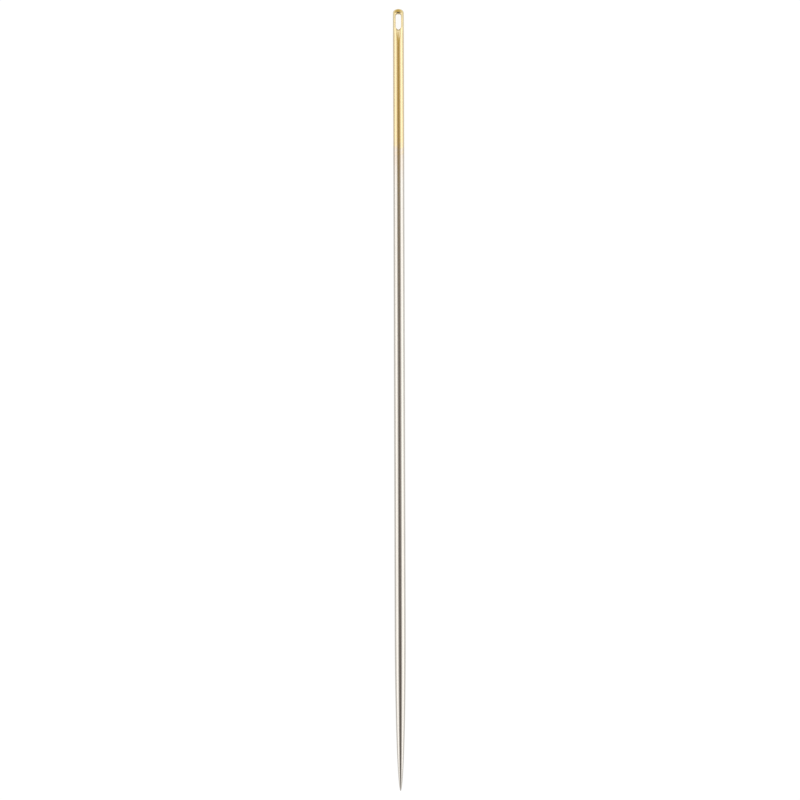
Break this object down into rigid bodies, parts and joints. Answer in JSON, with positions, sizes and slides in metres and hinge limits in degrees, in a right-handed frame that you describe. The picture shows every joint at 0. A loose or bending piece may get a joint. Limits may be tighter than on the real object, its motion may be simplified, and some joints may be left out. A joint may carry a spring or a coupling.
{
  "type": "hand sewing needle",
  "caption": "Long straight steel sewing needle with a gilded oval eye, a thread gutter on each side of the head and a fine tapered point.",
  "frame": {"origin": "on the needle's axis, halfway between the top of the crown and the tip of the point", "axes": "+X along the needle towards the point, +Z along the hole of the eye, +Y across it"},
  "size_m": [0.0434, 0.0006, 0.0006],
  "materials": {
    "nickelled_steel": "polished nickel-plated steel, gilded from the crown to about a fifth of the length"
  },
  "bodies": {
    "root": {"needle": "nickelled_steel"}
  },
  "joints": []
}
